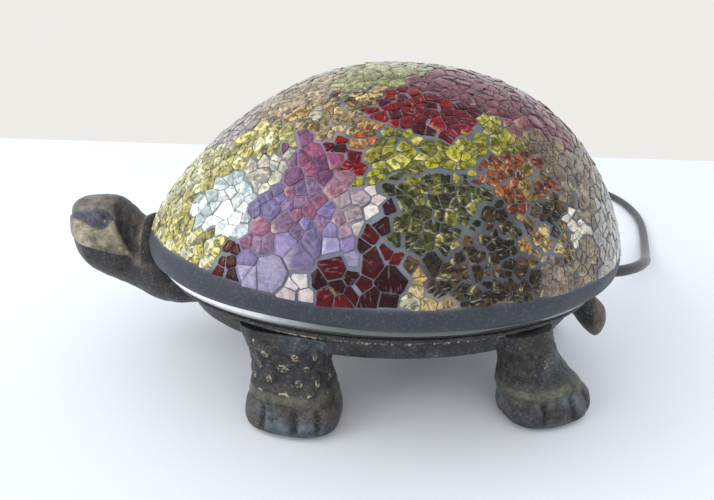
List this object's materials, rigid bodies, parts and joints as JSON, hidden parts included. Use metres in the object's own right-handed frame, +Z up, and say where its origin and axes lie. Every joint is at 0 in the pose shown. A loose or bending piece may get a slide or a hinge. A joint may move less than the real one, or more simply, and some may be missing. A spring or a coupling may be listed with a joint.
{
  "type": "mosaic glass table lamp",
  "caption": "Turtle-shaped table lamp: a crackle-mosaic glass shell that lifts off a cast bronze-finish base with head, tail and legs, a screw-base bulb and a corded switch.",
  "frame": {"origin": "bottom centre of the lamp's box, on the table, cord and what is on it left out", "axes": "+X from head to tail, +Y to the side away from the pictured one, +Z up"},
  "size_m": [0.3837, 0.4537, 0.146],
  "materials": {
    "clear_glass": "clear blown glass, glossy",
    "grout": "slate blue-grey grout, matte",
    "mosaic_yellow": "crackle glass chips, yellow to olive, glossy",
    "mosaic_clear": "crackle glass chips, clear over grey, glossy",
    "mosaic_amber": "crackle glass chips, amber to brown, glossy",
    "mosaic_pale": "crackle glass chips, pale yellow-green, glossy",
    "mosaic_red": "crackle glass chips, dark red, glossy",
    "mosaic_violet": "crackle glass chips, violet to pink, glossy",
    "mosaic_taupe": "crackle glass chips, taupe, glossy",
    "bronze": "blackened casting with worn gold highlights",
    "felt": "dark felt",
    "steel": "zinc plated",
    "brass": "plain brass",
    "black_plastic": "moulded, satin",
    "white_ceramic": "unglazed",
    "cord_sleeve": "smooth dark brown sheath"
  },
  "bodies": {
    "base": {"shade_gasket": "felt", "base_ring": "bronze", "head_neck": "bronze", "tail": "bronze", "leg_front_near": "bronze", "foot_pad_front_near": "felt", "leg_screw_front_near": "steel", "leg_front_far": "bronze", "foot_pad_front_far": "felt", "leg_screw_front_far": "steel", "leg_rear_near": "bronze", "foot_pad_rear_near": "felt", "leg_screw_rear_near": "steel", "leg_rear_far": "bronze", "foot_pad_rear_far": "felt", "leg_screw_rear_far": "steel", "neck_screw": "steel", "tail_screw": "steel", "holder_strap": "steel", "strap_screw_near": "steel", "strap_screw_far": "steel", "threaded_nipple": "brass", "nipple_nut": "brass", "lock_washer": "steel", "holder_body": "black_plastic", "holder_sleeve": "black_plastic", "contact_carrier": "white_ceramic", "screw_shell": "brass", "centre_contact": "brass", "strain_relief": "cord_sleeve", "inner_lead": "cord_sleeve", "cord_run_to_switch": "cord_sleeve", "cord_run_to_coil": "cord_sleeve", "cord_run_to_plug": "cord_sleeve", "cord_coil": "cord_sleeve", "coil_tie": "black_plastic", "switch_lower": "black_plastic", "switch_upper": "black_plastic", "plug_body": "black_plastic", "plug_pin_near": "brass", "plug_pin_far": "brass"},
    "shade": {"shade_glass": "clear_glass", "grout_band": "grout", "mosaic_yellow_front": "mosaic_yellow", "mosaic_clear_front": "mosaic_clear", "mosaic_amber_front": "mosaic_amber", "mosaic_pale_crown": "mosaic_pale", "mosaic_red_crown": "mosaic_red", "mosaic_violet_side": "mosaic_violet", "mosaic_yellow_side": "mosaic_yellow", "mosaic_amber_side": "mosaic_amber", "mosaic_taupe_rear": "mosaic_taupe", "mosaic_red_far": "mosaic_red", "mosaic_yellow_far": "mosaic_yellow", "mosaic_violet_far": "mosaic_violet"},
    "bulb_tip": {"bulb_tip": "steel"},
    "bulb": {"bulb_cap": "steel", "bulb_glass": "clear_glass", "bulb_stem": "clear_glass"},
    "switch_rocker": {"switch_rocker": "black_plastic"}
  },
  "joints": [
    {"name": "shade_lift", "type": "slide", "parent": "base", "child": "shade", "axis": [0, 0, 1], "range_m": [0, 0.085]},
    {"name": "bulb_travel", "type": "slide", "parent": "base", "child": "bulb_tip", "axis": [0, 0, 1], "range_m": [0, 0.0099]},
    {"name": "bulb_turn", "type": "hinge", "parent": "bulb_tip", "child": "bulb", "pos_m": [0.0213, 0, 0.052], "axis": [0, 0, 1], "range_deg": [0, 1260]},
    {"name": "switch_rock", "type": "hinge", "parent": "base", "child": "switch_rocker", "pos_m": [0.0243, 0.243, 0.0145], "axis": [0, -1, 0], "range_deg": [0, 20]}
  ],
  "couplings": [
    {"joint": "bulb_travel", "follows": "bulb_turn", "m_per_rad": 0.00044882}
  ]
}
